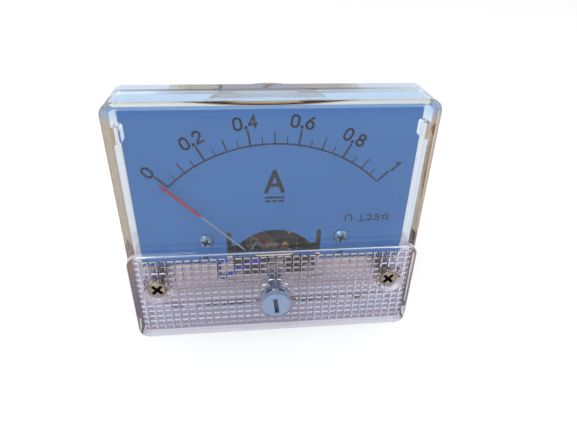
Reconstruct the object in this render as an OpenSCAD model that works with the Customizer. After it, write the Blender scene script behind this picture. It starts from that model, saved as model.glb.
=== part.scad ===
// Analog panel meter: a clear-cased moving-coil ammeter with its movement open to view.
// The origin is the centre of the flange's rear face, which seats on the panel. The front
// faces -Y, the barrel runs along +Y through the panel and +Z is up.
// A depth is how far a face lies in front of the panel. Depths behind the panel are negative.

/* [Face] */
// Width of the face
face_w = 64; // [61:0.5:70]
// Height of the face
face_h = 56; // [55:0.5:64]
// Corner radius of the face
face_r = 2.5; // [1.5:0.1:4]
// Rounding of the front edges
edge_r = 0.8; // [0.3:0.1:1.2]
// Thickness of the rear flange
flange_t = 3; // [2:0.1:3.6]
// Depth of the window's outer face
window_depth = 11.6; // [11.2:0.1:14]
// How far the lower strip stands in front of the window
strip_step = 1.7; // [1:0.1:3]
// Height of the lower strip
strip_h = 23.3; // [22.5:0.1:24]
// Wall of the front cover
cover_wall = 1.6; // [1.2:0.1:1.8]

/* [Strip texture] */
// Pitch of the pads across the strip
pad_pitch_x = 1.82; // [1.5:0.02:2.4]
// Pitch of the pads down the strip
pad_pitch_z = 1.52; // [1.3:0.02:2.4]
// Height of the pads
pad_h = 0.35; // [0.2:0.05:0.5]
// Flat gap between pads at their foot
pad_gap = 0.3; // [0.2:0.05:0.5]
// How far each side of a pad leans in
pad_lean = 0.18; // [0.1:0.02:0.3]
// Smooth border round the field of pads
pad_border = 1.7; // [1.4:0.1:3]

/* [Barrel] */
// Outer diameter of the barrel where it passes the panel
barrel_d = 49; // [48.5:0.1:50]
// Outer diameter of the barrel's narrower rear part
barrel_rear_d = 41; // [40.5:0.1:43]
// Length of the barrel behind the panel
barrel_l = 26; // [25:0.5:34]
// Wall of the barrel
barrel_wall = 1.6; // [1.2:0.1:2]

/* [Fixing screws] */
// How far the cover screws lie in from the sides of the face
stud_inset = 5.5; // [5:0.1:5.5]
// How far the cover screws lie below the centre
stud_drop = 14.4; // [14:0.1:15.5]
// Diameter of the cover screws
stud_d = 3; // [2.5:0.1:3.2]
// How far the cover screws stand out behind the panel face
stud_out = 12; // [10:0.5:20]
// Diameter of a cover screw's head
stud_head_d = 4.2; // [3.8:0.1:4.4]
// Height of a cover screw's head
stud_head_h = 1.4; // [1:0.1:1.8]
// Diameter of the smooth recess round a cover screw
stud_recess_d = 6; // [5.4:0.1:6.4]

/* [Dial] */
// Depth of the dial's front face
dial_depth = 7.2; // [6.9:0.1:7.6]
// Thickness of the dial plate
dial_t = 0.5; // [0.3:0.1:0.6]
// Gap over the dial's top edge, inside the cover
dial_top_gap = 1.1; // [0.8:0.1:3]
// Radius of the cut-out over the movement
dial_cutout_r = 10.5; // [10:0.1:11]
// Radius of the scale arc
scale_r = 31.1; // [28:0.1:31.5]
// Angle that the scale covers
scale_sweep = 90; // [80:1:90]
// Number of steps on the scale
scale_steps = 20; // [10:10:50]
// Distance between the dial screws
dial_screw_spacing = 30.4; // [29:0.1:32]
// How far the dial screws lie below the centre
dial_screw_drop = 4.6; // [4:0.1:5.2]

/* [Movement] */
// How far the pivot lies below the centre of the face
pivot_drop = 12.9; // [12.6:0.1:13.1]
// Diameter of the magnet core
core_d = 9; // [8:0.1:9.4]
// Length of the magnet core and of the ring round it
core_l = 9.3; // [9:0.1:10.6]
// Outer diameter of the iron ring
ring_d = 19.2; // [18.8:0.1:19.4]
// Wall of the iron ring
ring_wall = 3.3; // [3:0.1:3.5]
// Depth of the ring's front face
ring_depth = -2.8; // [-3.2:0.1:-2.4]
// Width of the moving coil
coil_w = 3; // [2.4:0.1:3.2]
// Thickness of the coil's winding
coil_t = 0.7; // [0.5:0.05:0.8]
// Turns of each hairspring
hairspring_turns = 4; // [3:1:5]
// Length of the pointer from the pivot to its tip
pointer_l = 33.2; // [31:0.1:33.5]
// Depth of the pointer over the dial
pointer_depth = 9; // [8.6:0.1:9.1]
// Width of the pointer's red blade
pointer_blade_w = 0.55; // [0.4:0.05:0.8]

/* [Zero adjuster] */
// How far the adjuster lies below the centre
adjuster_drop = 18.7; // [18.5:0.1:18.9]
// Diameter of the adjuster's head
adjuster_head_d = 6.6; // [6:0.1:7]
// How far the adjuster's head stands in front of the strip
adjuster_out = 1.6; // [1:0.1:2]
// Depth of the well that the adjuster's head sits in
adjuster_well = 1; // [0.6:0.1:1.1]
// Diameter of the smooth ring round the adjuster
adjuster_ring_d = 9.4; // [9:0.1:9.6]
// How far the adjuster turns each way
adjuster_turn = 30; // [20:1:30]
// How far the adjuster's drive pin lies from its axis
adjuster_throw = 0.8; // [0.6:0.05:0.9]

/* [Terminals] */
// Distance between the terminals
terminal_spacing = 24; // [23:0.5:26]
// Height of the terminals above the centre
terminal_rise = 5; // [4.5:0.5:7]
// Diameter of the terminal studs
terminal_d = 4; // [3.5:0.1:4.2]
// How far the terminal studs stand out behind the barrel
terminal_out = 14; // [12:0.5:18]

/* [Clearances] */
// Radial clearance of a pin that turns in a hole
running_gap = 0.05; // [0.03:0.01:0.08]
// Gap between moulded parts that fit together
mould_gap = 0.15; // [0.1:0.01:0.2]
// Gap between moving parts and what they pass
moving_gap = 0.3; // [0.25:0.01:0.35]

/* [Hidden] */
$fn = 48;
fine = 96;
slice = 0.01;

// Face and cover
strip_depth = window_depth + strip_step;
cover_inner_depth = window_depth - cover_wall;
strip_inner_depth = strip_depth - cover_wall;
strip_top = strip_h - face_h / 2;
strip_centre = strip_top - strip_h / 2;
cavity_w = face_w - 2 * cover_wall;
cavity_top = face_h / 2 - cover_wall;
cavity_bottom = -cavity_top;
cavity_r = max(face_r - cover_wall, 0.4);
strip_cavity_top = strip_top - cover_wall;
lip_h = 1.6;
lip_w = 1.2;
field_w = face_w - 2 * pad_border;
field_top = strip_top - 0.4;
field_bottom = pad_border - face_h / 2;

// Cover screws and their bosses
stud_x = face_w / 2 - stud_inset;
stud_z = -stud_drop;
stud_shank_d = stud_d + 0.2;
stud_hole_d = stud_shank_d + 0.3;
stud_boss_d = stud_recess_d + 0.7;
stud_head_gap = 0.2;
stud_seat_depth = strip_depth - 1.05 - stud_head_h;

// Dial
pivot_z = -pivot_drop;
dial_back_depth = dial_depth - dial_t;
dial_w = cavity_w - 1.4;
dial_top = cavity_top - dial_top_gap;
dial_bottom = stud_z + stud_boss_d / 2 + mould_gap;
cutout_w = 21.4;
cutout_top = -6.2;
slot_w = 1.1;
slot_rise = 3.5;
ink_t = 0.06;
arc_w = 0.34;
tick_l = [1.6, 2.6, 3.4];
tick_w = [0.18, 0.26, 0.4];
dial_screw_x = dial_screw_spacing / 2;
dial_screw_d = 1.8;
dial_screw_l = 5;
dial_screw_head_d = 3.3;
dial_screw_head_h = 1.1;
dial_post_d = 4;
rest_x = cavity_w / 2 - 3.2;
rest_z = cavity_top - 4.4;
rest_d = 3;

// Movement, along the pivot axis from the front to the rear
ring_bore = ring_d - 2 * ring_wall;
ring_rear_depth = ring_depth - core_l;
core_r = core_d / 2;
former_t = 0.15;
coil_gap = moving_gap;
former_r = core_r + coil_gap + former_t;
coil_r = former_r + coil_t;
coil_front = ring_depth + coil_gap + former_t + coil_t;
coil_rear = ring_rear_depth - coil_gap - former_t - coil_t;
pin_d = 1.6;
leg_r = (ring_bore + ring_d) / 4;
leg_d = 2.4;
bridge_t = 1.2;
bridge_h = 3.8;
bridge_w = 2 * leg_r + leg_d + 1;
front_bridge_depth = 7;
jewel_d = 3;
jewel_bore_l = 1;
jewel_tail = 1.6;
jewel_reach = 0.9;
jewel_front_depth = front_bridge_depth + jewel_tail;
jewel_mouth_depth = front_bridge_depth - bridge_t - jewel_reach;
jewel_nut_w = 4.6;
jewel_nut_h = 0.8;
staff_d = 1;
pivot_d = 0.5;
pivot_l = 0.8;
pivot_base_d = 3;
pivot_base_t = 0.4;
spring_in_r = staff_d / 2 + running_gap;
spring_out_r = 3.6;
spring_w = 0.35;
spring_t = 0.12;
front_spring_depth = 4.1;
rear_spring_gap = 1.5;
rear_mouth_gap = 2.4;
rear_mouth_depth = coil_rear - rear_mouth_gap;
rear_bridge_depth = rear_mouth_depth - jewel_reach;
rear_spring_depth = coil_rear - rear_spring_gap;
rear_jewel_end = rear_bridge_depth - bridge_t - jewel_tail;
bridge_screw_d = 1.4;
bridge_screw_head_d = 2.4;
bridge_screw_head_h = 0.9;

// Frame that carries the movement in the barrel
frame_depth = ring_depth - 1.2;
frame_t = 1.2;
frame_r = barrel_d / 2 - barrel_wall - 0.4;
frame_top = -1.4;
frame_bottom = pivot_z - 6;
frame_screw_x = 16.5;
frame_screw_d = 2;
frame_screw_head_d = 3.8;
frame_screw_head_h = 1.2;
frame_screw_l = 6;
frame_boss_d = 5.2;

// Zero lever
lever_t = 0.4;
lever_depth = front_bridge_depth + running_gap + lever_t;
lever_ring_d = jewel_d + 2.2;
lever_arm_w = 1.6;
lug_angle = 33;
lug_r = spring_out_r + spring_t;
lug_end_depth = front_spring_depth - spring_w / 2;
spring_tag_t = 0.4;

// Zero adjuster
adjuster_z = -adjuster_drop;
adjuster_shaft_d = 4;
adjuster_well_d = adjuster_head_d + 2 * mould_gap;
adjuster_ridge_w = 0.3;
adjuster_ridge_h = 0.15;
adjuster_ridges = 4;
adjuster_keeper_d = 5;
adjuster_keeper_t = 0.8;
adjuster_pin_d = 1;
adjuster_slot_w = 1;
adjuster_slot_l = 4.3;
adjuster_slot_h = 1;
adjuster_pin_z = adjuster_z + adjuster_throw;
adjuster_boss_t = 0.7;
adjuster_lug_w = 1.2;
adjuster_lug_r = 3.6;
keeper_depth = strip_inner_depth - adjuster_boss_t - running_gap;
stop_post_d = 1;
stop_post_angle = adjuster_turn
    + asin((adjuster_lug_w + stop_post_d + 2 * running_gap) / 2 / (adjuster_lug_r - 0.4));
fork_reach = pivot_z - adjuster_pin_z;

// Angles that the pointer reaches, from straight up
rest_angle = -scale_sweep / 2;
overtravel = 3;
zero_travel = adjuster_turn * adjuster_throw / fork_reach;
pointer_limit = scale_sweep / 2 + overtravel + zero_travel;

// Pointer
crank_in_r = 5.4;
crank_out_r = 8;
root_depth = 2.3;
wire_w = 0.3;
blade_r = 22.3;
tail_l = 5.2;
weight_r = 4.4;
weight_d = 1.5;
weight_l = 1.2;
stop_pin_d = 0.5;
stop_pin_r = ring_bore / 2 + 0.6;
stop_pin_angle = pointer_limit
    + asin((stop_pin_d / 2 + wire_w / 2 + 0.15) / stop_pin_r);
stop_pin_depth = root_depth + 1.2;

// Terminals: a thicker shank runs through the wall, washer and nut
terminal_x = terminal_spacing / 2;
terminal_shank_d = terminal_d + 0.6;
rear_wall = 1.8;
rim_step = 0.4;
barrel_step_inner = ring_rear_depth - mould_gap;
barrel_step_outer = barrel_step_inner - barrel_wall;
barrel_edge = 0.6;
barrel_floor = rear_wall - barrel_l;
terminal_head_w = 7;
terminal_head_h = 2;
terminal_washer_d = 8;
terminal_washer_t = 0.7;
terminal_nut_w = 7;
terminal_nut_h = 2.6;
terminal_nut_rear = -barrel_l - rim_step - terminal_washer_t - terminal_nut_h;
terminal_tag_t = 0.5;
terminal_tag_d = 6;
terminal_tag_w = 2.6;
terminal_tag_l = 8;
terminal_tag_hole_d = 1;
shunt_w = 3;
shunt_t = 0.5;
shunt_eye_d = 5;

// Leads: route points chosen by hand, in x, depth and z
lead_d = 1.1;
blue_route = [[-3.7, 7.4, -11.4], [-3.3, 8, -10.4], [-3.7, 8.6, -9.6], [-4.8, 8.8, -9.7],
    [-6.5, 8.8, -10.5], [-8.2, 8.8, -11.7], [-10.2, 8.3, -13.3], [-12, 7, -15.1],
    [-12.9, 5.2, -16.5], [-13.2, 2.6, -17], [-13.2, -0.5, -16.6], [-13.1, -4.6, -15.3],
    [-12.6, -8, -12.9], [-12, -12, -9.4], [-11.8, -16, -6.4], [-11.9, -19.5, -4],
    [-12, -21.2, -2.2], [-12, -21.3, -0.4]];
lead_hole = [-13.1, -15.3];
red_route = [[0, -17.3, -8.3], [0.8, -18.2, -7.8], [3, -19.4, -7], [7, -20.6, -5],
    [10.6, -21.3, -2.8], [12, -21.3, -0.6]];

clear_tint = [0.82, 0.86, 0.93, 0.35];
olive = [0.33, 0.32, 0.26];
steel = [0.6, 0.6, 0.62];
nickel = [0.78, 0.77, 0.74];
brass = [0.78, 0.62, 0.3];
copper = [0.72, 0.38, 0.18];

// ---- Helpers ----

// Thickens a 2D outline, drawn in x and z, between two depths.
module slab(back, front) {
    translate([0, -back, 0]) rotate([90, 0, 0]) linear_extrude(front - back) children();
}

// Thickens a 2D outline, drawn in y and z, across x.
module across(x0, x1) {
    translate([x0, 0, 0]) rotate([90, 0, 90]) linear_extrude(x1 - x0) children();
}

module rod(x, z, back, front, d) {
    slab(back, front) translate([x, z]) circle(d = d);
}

// Revolves a 2D outline, drawn as radius and depth, round an axis along y.
module turned(x, z) {
    translate([x, 0, z]) rotate([90, 0, 0]) rotate_extrude() children();
}

module at_pivot() { translate([0, 0, pivot_z]) children(); }

// Turns what is drawn round the pivot, clockwise as the front sees it.
module swing(angle) { rotate([0, angle, 0]) children(); }

module rounded_rect(w, h, r) {
    square([w - 2 * r, h], center = true);
    square([w, h - 2 * r], center = true);
    for (sx = [-1, 1], sz = [-1, 1])
        translate([sx * (w / 2 - r), sz * (h / 2 - r)]) circle(r);
}

module hexagon(flats) { circle(d = flats / cos(30), $fn = 6); }

// Half of a block's section: len out from the middle and t deep, its outer front edge rounded.
module edge_profile(len, t, e) {
    square([len, t - e]);
    square([len - e, t]);
    translate([len - e, t - e]) circle(e);
}

module full_profile(w, t, e) {
    edge_profile(w / 2, t, e);
    mirror([1, 0]) edge_profile(w / 2, t, e);
}

// A block with corner radius r whose front edges are rounded by e.
module rounded_block(w, h, back, front, r, e) {
    t = front - back;
    translate([0, -back, 0]) {
        translate([0, 0, r - h / 2]) linear_extrude(h - 2 * r)
            mirror([0, 1]) full_profile(w, t, e);
        translate([r - w / 2, 0, 0]) rotate([0, 90, 0]) linear_extrude(w - 2 * r)
            mirror([0, 1]) full_profile(h, t, e);
        for (sx = [0, 1], sz = [0, 1])
            mirror([sx, 0, 0]) mirror([0, 0, sz]) translate([w / 2 - r, 0, h / 2 - r])
                rotate([90, 0, 0]) rotate_extrude(angle = 90) edge_profile(r, t, e);
    }
}

module phillips(size, depth, at_depth) {
    slab(at_depth - depth, at_depth + slice) {
        square([size, size * 0.26], center = true);
        square([size * 0.26, size], center = true);
    }
}

module slotted(size, width, depth, at_depth) {
    slab(at_depth - depth, at_depth + slice) square([width, size], center = true);
}

// ---- Case ----

module cavity_outline() {
    translate([0, (cavity_top + cavity_bottom) / 2])
        rounded_rect(cavity_w, cavity_top - cavity_bottom, cavity_r);
}

module stud_places() {
    for (s = [-1, 1]) translate([s * stud_x, stud_z]) children();
}

// A wide part that fills the panel's hole, then a narrower one. The rim of the rear wall is
// broken by a small step, as a moulding tool leaves it.
module barrel_solid() {
    r = barrel_d / 2;
    rear_r = barrel_rear_d / 2;
    turned(0, 0, $fn = fine) polygon([[0, 0], [r, 0], [r, barrel_step_outer + barrel_edge],
        [r - barrel_edge, barrel_step_outer], [rear_r, barrel_step_outer], [rear_r, -barrel_l],
        [rear_r - 3 * rim_step, -barrel_l], [rear_r - 3 * rim_step, -barrel_l - rim_step],
        [0, -barrel_l - rim_step]]);
}

module locating_lip() {
    slab(flange_t, flange_t + lip_h) difference() {
        rounded_rect(cavity_w - 2 * mould_gap, cavity_top - cavity_bottom - 2 * mould_gap, cavity_r);
        rounded_rect(cavity_w - 2 * mould_gap - 2 * lip_w,
            cavity_top - cavity_bottom - 2 * mould_gap - 2 * lip_w, cavity_r);
        stud_places() circle(d = stud_boss_d + 2 * mould_gap);
    }
}

module rear_case() {
    color(clear_tint) difference() {
        union() {
            slab(0, flange_t) rounded_rect(face_w, face_h, face_r);
            barrel_solid();
            locating_lip();
            for (s = [-1, 1]) rod(s * rest_x, rest_z, flange_t - 1, dial_back_depth, rest_d);
        }
        slab(barrel_floor, barrel_step_inner + slice)
            circle(d = barrel_rear_d - 2 * barrel_wall, $fn = fine);
        difference() {
            slab(barrel_step_inner, flange_t + slice)
                circle(d = barrel_d - 2 * barrel_wall, $fn = fine);
            for (s = [-1, 1])
                rod(s * frame_screw_x, pivot_z, barrel_step_inner - 1, frame_depth - frame_t,
                    frame_boss_d);
        }
        for (s = [-1, 1]) {
            rod(s * frame_screw_x, pivot_z, frame_depth - frame_t - frame_screw_l,
                frame_depth, frame_screw_d);
            rod(s * terminal_x, terminal_rise, -barrel_l - 1, barrel_floor + 1, terminal_shank_d);
        }
        slab(-slice, flange_t + slice) stud_places() circle(d = stud_shank_d);
    }
}

// The pads of the strip: ribs across met by ribs down.
module pad_teeth(pitch, count) {
    foot = (pitch - pad_gap) / 2;
    for (i = [0 : count - 1])
        translate([(i + 0.5 - count / 2) * pitch, 0])
            polygon([[-foot, -slice], [foot, -slice], [foot - pad_lean, pad_h],
                [pad_lean - foot, pad_h]]);
}

module pad_outline() {
    difference() {
        translate([-field_w / 2, field_bottom]) square([field_w, field_top - field_bottom]);
        stud_places() circle(d = stud_recess_d + 0.4);
        translate([0, adjuster_z]) circle(d = adjuster_ring_d);
    }
}

module pads() {
    columns = 2 * ceil(field_w / pad_pitch_x / 2);
    rows = floor((field_top - field_bottom) / pad_pitch_z);
    rows_centre = (field_top + field_bottom) / 2;
    intersection() {
        translate([0, pad_h - strip_depth, field_bottom]) linear_extrude(field_top - field_bottom)
            mirror([0, 1]) pad_teeth(pad_pitch_x, columns);
        translate([-field_w / 2, pad_h - strip_depth, rows_centre]) rotate([0, 90, 0])
            linear_extrude(field_w) mirror([0, 1]) pad_teeth(pad_pitch_z, rows);
        slab(strip_depth - 2 * pad_h, strip_depth + pad_h) pad_outline();
    }
}

module cover_shell() {
    difference() {
        union() {
            difference() {
                rounded_block(face_w, face_h, flange_t, window_depth, face_r, edge_r);
                slab(flange_t - 1, window_depth + 1)
                    translate([-face_w, strip_centre - face_h]) square([2 * face_w, face_h]);
            }
            translate([0, 0, strip_centre])
                rounded_block(face_w, strip_h, flange_t, strip_depth, face_r, edge_r);
        }
        slab(flange_t - 1, cover_inner_depth) cavity_outline();
        slab(flange_t, strip_inner_depth) intersection() {
            cavity_outline();
            translate([-face_w, strip_cavity_top - face_h]) square([2 * face_w, face_h]);
        }
    }
}

// Small hooks inside the upper corners, which grip the dial's edge against the window.
module corner_hooks() {
    for (s = [-1, 1])
        slab(dial_depth + mould_gap, cover_inner_depth + slice)
            translate([s * (cavity_w / 2 - 0.5), cavity_top - 5]) rounded_rect(2, 3.4, 0.6);
}

module front_cover() {
    color(clear_tint) difference() {
        union() {
            cover_shell();
            corner_hooks();
            slab(flange_t, strip_inner_depth + slice) stud_places() circle(d = stud_boss_d);
            rod(0, adjuster_z, strip_inner_depth - adjuster_boss_t, strip_inner_depth + slice,
                adjuster_shaft_d + 3);
            translate([0, 0, adjuster_z]) for (s = [-1, 1])
                swing(180 + s * stop_post_angle)
                    rod(0, adjuster_lug_r - 0.4, keeper_depth - adjuster_keeper_t,
                        strip_inner_depth + slice, stop_post_d);
        }
        slab(strip_depth - pad_h, strip_depth + 1) pad_outline();
        for (s = [-1, 1]) {
            rod(s * stud_x, stud_z, flange_t - 1, strip_depth, stud_hole_d);
            turned(s * stud_x, stud_z) polygon([[0, stud_seat_depth],
                [stud_head_d / 2 + stud_head_gap, stud_seat_depth],
                [stud_head_d / 2 + stud_head_gap, strip_depth - 0.8],
                [stud_recess_d / 2, strip_depth], [stud_recess_d / 2, strip_depth + 1],
                [0, strip_depth + 1]]);
        }
        rod(0, adjuster_z, strip_inner_depth - adjuster_boss_t - 1, strip_depth + 1,
            adjuster_shaft_d + 2 * running_gap);
        rod(0, adjuster_z, strip_depth - adjuster_well, strip_depth + 1, adjuster_well_d);
    }
    color(clear_tint) pads();
}

module cover_screw(side) {
    color(nickel) translate([side * stud_x, 0, stud_z]) difference() {
        union() {
            rod(0, 0, -stud_out, slice, stud_d);
            rod(0, 0, 0, stud_seat_depth + slice, stud_shank_d);
            turned(0, 0) polygon([[0, stud_seat_depth], [stud_head_d / 2, stud_seat_depth],
                [stud_head_d / 2, stud_seat_depth + stud_head_h - 0.4],
                [stud_head_d / 2 - 0.4, stud_seat_depth + stud_head_h],
                [0, stud_seat_depth + stud_head_h]]);
        }
        swing(45) phillips(stud_head_d * 0.72, 0.9, stud_seat_depth + stud_head_h);
    }
}

// ---- Dial ----

module dial_plate() {
    color([0.86, 0.88, 0.92]) slab(dial_back_depth, dial_depth) difference() {
        translate([-dial_w / 2, dial_bottom]) square([dial_w, dial_top - dial_bottom]);
        translate([0, pivot_z]) circle(dial_cutout_r, $fn = fine);
        translate([-cutout_w / 2, dial_bottom - 1]) square([cutout_w, cutout_top - dial_bottom + 1]);
        for (s = [-1, 1]) translate([s * (cutout_w - slot_w) / 2, 0]) {
            translate([-slot_w / 2, cutout_top - 1])
                square([slot_w, slot_rise + 1 - slot_w / 2]);
            translate([0, cutout_top + slot_rise - slot_w / 2]) circle(d = slot_w);
        }
        for (s = [-1, 1]) translate([s * dial_screw_x, -dial_screw_drop])
            circle(d = dial_screw_d + 0.4);
    }
}

function tick_kind(i) = i % (scale_steps / 5) == 0 ? 2 : i % (scale_steps / 10) == 0 ? 1 : 0;

module scale_marks() {
    color([0.08, 0.08, 0.2]) slab(dial_depth, dial_depth + ink_t) translate([0, pivot_z]) {
        intersection() {
            difference() {
                circle(scale_r + arc_w / 2, $fn = 2 * fine);
                circle(scale_r - arc_w / 2, $fn = 2 * fine);
            }
            polygon([[0, 0], [-2 * scale_r * tan(scale_sweep / 2), 2 * scale_r],
                [2 * scale_r * tan(scale_sweep / 2), 2 * scale_r]]);
        }
        for (i = [0 : scale_steps]) rotate(scale_sweep / 2 - i * scale_sweep / scale_steps)
            translate([-tick_w[tick_kind(i)] / 2, scale_r])
                square([tick_w[tick_kind(i)], tick_l[tick_kind(i)]]);
    }
}

module dial_screw(side) {
    color(nickel) translate([side * dial_screw_x, 0, -dial_screw_drop]) difference() {
        union() {
            rod(0, 0, dial_depth - dial_screw_l, dial_depth + slice, dial_screw_d);
            turned(0, 0) polygon([[0, dial_depth], [dial_screw_head_d / 2, dial_depth],
                [dial_screw_head_d / 2, dial_depth + dial_screw_head_h * 0.4],
                [dial_screw_head_d / 2 - 0.5, dial_depth + dial_screw_head_h],
                [0, dial_depth + dial_screw_head_h]]);
        }
        swing(20) phillips(dial_screw_head_d * 0.6, 0.6, dial_depth + dial_screw_head_h);
    }
}

module dial_post(side) {
    color(brass) slab(frame_depth, dial_back_depth)
        translate([side * dial_screw_x, -dial_screw_drop]) difference() {
            circle(d = dial_post_d);
            circle(d = dial_screw_d);
        }
}

// ---- Fixed part of the movement ----

module movement_frame() {
    color(olive) slab(frame_depth - frame_t, frame_depth) difference() {
        intersection() {
            circle(frame_r, $fn = fine);
            translate([-frame_r, frame_bottom]) square([2 * frame_r, frame_top - frame_bottom]);
        }
        translate([0, pivot_z]) circle(d = ring_d, $fn = fine);
        for (s = [-1, 1]) translate([s * frame_screw_x, pivot_z]) circle(d = frame_screw_d + 0.3);
        translate(lead_hole) circle(d = lead_d + 1.5);
    }
}

module frame_screw(side) {
    color(nickel) translate([side * frame_screw_x, 0, pivot_z]) difference() {
        union() {
            rod(0, 0, frame_depth - frame_t - frame_screw_l + 1, frame_depth + slice, frame_screw_d);
            rod(0, 0, frame_depth, frame_depth + frame_screw_head_h, frame_screw_head_d);
        }
        slotted(frame_screw_head_d + 1, 0.6, 0.6, frame_depth + frame_screw_head_h);
    }
}

module cross_hole(d) {
    depth = ring_depth - core_l / 2;
    across(-ring_d, ring_d) translate([-depth, pivot_z]) circle(d = d);
}

module iron_ring() {
    color(olive) difference() {
        slab(ring_rear_depth, ring_depth) translate([0, pivot_z]) difference() {
            circle(d = ring_d, $fn = fine);
            circle(d = ring_bore, $fn = fine);
        }
        cross_hole(pin_d);
    }
}

module magnet_core() {
    color(steel) difference() {
        rod(0, pivot_z, ring_rear_depth, ring_depth, core_d);
        cross_hole(pin_d);
    }
}

module core_pin() {
    depth = ring_depth - core_l / 2;
    reach = sqrt(pow(ring_d / 2, 2) - pow(pin_d / 2, 2));
    color(brass) across(-reach, reach) translate([-depth, pivot_z]) circle(d = pin_d);
}

module stop_pin(side) {
    color(nickel) at_pivot() swing(side * stop_pin_angle)
        rod(0, stop_pin_r, ring_depth, stop_pin_depth, stop_pin_d);
}

// A bridge spans the ring's bore on two legs that stand on the ring's end face.
module bridge(plate_back, plate_front, leg_back, leg_front, screw_holes) {
    difference() {
        union() {
            slab(plate_back, plate_front) translate([0, pivot_z])
                rounded_rect(bridge_w, bridge_h, 1.2);
            for (s = [-1, 1]) rod(s * leg_r, pivot_z, leg_back, leg_front, leg_d);
        }
        rod(0, pivot_z, plate_back - 1, plate_front + 1, jewel_d);
        if (screw_holes) for (s = [-1, 1])
            rod(s * leg_r, pivot_z, plate_back - 3, plate_front + 1, bridge_screw_d);
    }
}

module front_bridge() {
    plate_back = front_bridge_depth - bridge_t;
    color(olive) bridge(plate_back, front_bridge_depth, ring_depth, plate_back + slice, true);
}

module rear_bridge() {
    color(olive) bridge(rear_bridge_depth - bridge_t, rear_bridge_depth,
        rear_bridge_depth - slice, ring_rear_depth, false);
}

module bridge_screw(side) {
    color(nickel) translate([side * leg_r, 0, pivot_z]) difference() {
        union() {
            rod(0, 0, front_bridge_depth - bridge_t - 3, front_bridge_depth + slice, bridge_screw_d);
            rod(0, 0, front_bridge_depth, front_bridge_depth + bridge_screw_head_h,
                bridge_screw_head_d);
        }
        slotted(bridge_screw_head_d + 1, 0.4, 0.4, front_bridge_depth + bridge_screw_head_h);
    }
}

// A jewel screw: its mouth faces the coil and takes the pivot.
module front_jewel() {
    color(nickel) difference() {
        rod(0, pivot_z, jewel_mouth_depth, jewel_front_depth, jewel_d);
        rod(0, pivot_z, jewel_mouth_depth - 1, jewel_mouth_depth + jewel_bore_l,
            pivot_d + 2 * running_gap);
        at_pivot() swing(35) slotted(jewel_d + 1, 0.5, 0.5, jewel_front_depth);
    }
}

module rear_jewel() {
    color(nickel) difference() {
        rod(0, pivot_z, rear_jewel_end, rear_mouth_depth, jewel_d);
        rod(0, pivot_z, rear_mouth_depth - jewel_bore_l, rear_mouth_depth + 1,
            pivot_d + 2 * running_gap);
    }
}

module jewel_nut(back) {
    color(nickel) slab(back, back + jewel_nut_h) translate([0, pivot_z]) difference() {
        hexagon(jewel_nut_w);
        circle(d = jewel_d);
    }
}

module front_jewel_nut() { jewel_nut(lever_depth + running_gap); }

module rear_jewel_nut() { jewel_nut(rear_bridge_depth - bridge_t - jewel_nut_h); }

// ---- Springs and zero lever ----

function spiral(r0, r1, turns, steps) =
    [for (i = [0 : steps]) let (t = i / steps, r = r0 + (r1 - r0) * t, a = 360 * turns * t)
        [r * sin(a), r * cos(a)]];

function reversed(list) = [for (i = [len(list) - 1 : -1 : 0]) list[i]];

// A flat spiral whose outer end meets its lug at the given angle.
module hairspring(depth, end_angle) {
    steps = 30 * hairspring_turns;
    inner = spiral(spring_in_r, spring_out_r, hairspring_turns, steps);
    outer = spiral(spring_in_r + spring_t, spring_out_r + spring_t, hairspring_turns, steps);
    color(brass) slab(depth - spring_w / 2, depth + spring_w / 2) translate([0, pivot_z])
        rotate(-end_angle) polygon(concat(inner, reversed(outer)));
}

module front_hairspring() { hairspring(front_spring_depth, lug_angle); }

module rear_hairspring() { hairspring(rear_spring_depth, 0); }

// A bent tag on the rear bridge that holds the rear hairspring's outer end.
module spring_tag() {
    color(nickel) at_pivot() {
        slab(rear_bridge_depth, rear_bridge_depth + spring_tag_t)
            translate([-lever_arm_w / 2, jewel_d / 2 + 0.1])
                square([lever_arm_w, lug_r + spring_tag_t - jewel_d / 2 - 0.1]);
        slab(rear_bridge_depth, rear_spring_depth + spring_w / 2)
            translate([-lever_arm_w / 2, lug_r]) square([lever_arm_w, spring_tag_t]);
    }
}

module zero_lever() {
    lever_back = lever_depth - lever_t;
    slot_w = adjuster_pin_d + 2 * running_gap;
    color(nickel) at_pivot() difference() {
        union() {
            slab(lever_back, lever_depth) {
                circle(d = lever_ring_d);
                rotate(-lug_angle) translate([-lever_arm_w / 2, 0])
                    square([lever_arm_w, lug_r + lever_t]);
                translate([-lever_arm_w / 2, -fork_reach]) square([lever_arm_w, fork_reach]);
                translate([0, -fork_reach - 0.2])
                    rounded_rect(slot_w + 1.6, 2.8, 0.5);
            }
            slab(lug_end_depth, lever_back + slice) rotate(-lug_angle)
                translate([-lever_arm_w / 2, lug_r]) square([lever_arm_w, lever_t]);
        }
        rod(0, 0, lever_back - 1, lever_depth + 1, jewel_d + 2 * running_gap);
        slab(lever_back - 1, lever_depth + 1)
            translate([-slot_w / 2, -fork_reach - 3]) square([slot_w, 3.9]);
    }
}

// ---- Moving coil, drawn with the pointer straight up and turned to its rest ----

module at_rest() { at_pivot() swing(rest_angle) children(); }

// A rectangular loop round the core in the pointer's plane.
module loop(r_in, r_out, back_in, back_out, front_in, front_out, w) {
    across(-w / 2, w / 2) difference() {
        translate([-front_out, -r_out]) square([front_out - back_out, 2 * r_out]);
        translate([-front_in, -r_in]) square([front_in - back_in, 2 * r_in]);
    }
}

module coil_former() {
    r0 = core_r + coil_gap;
    front0 = ring_depth + coil_gap;
    back0 = ring_rear_depth - coil_gap;
    color([0.75, 0.75, 0.76]) at_rest() {
        loop(r0, former_r, back0, back0 - former_t, front0, front0 + former_t, coil_w);
        for (s = [-1, 1]) translate([s * (coil_w - 0.2) / 2, 0, 0])
            loop(r0, coil_r - 0.1, back0, coil_rear + 0.1, front0, coil_front - 0.1, 0.2);
    }
}

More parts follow.
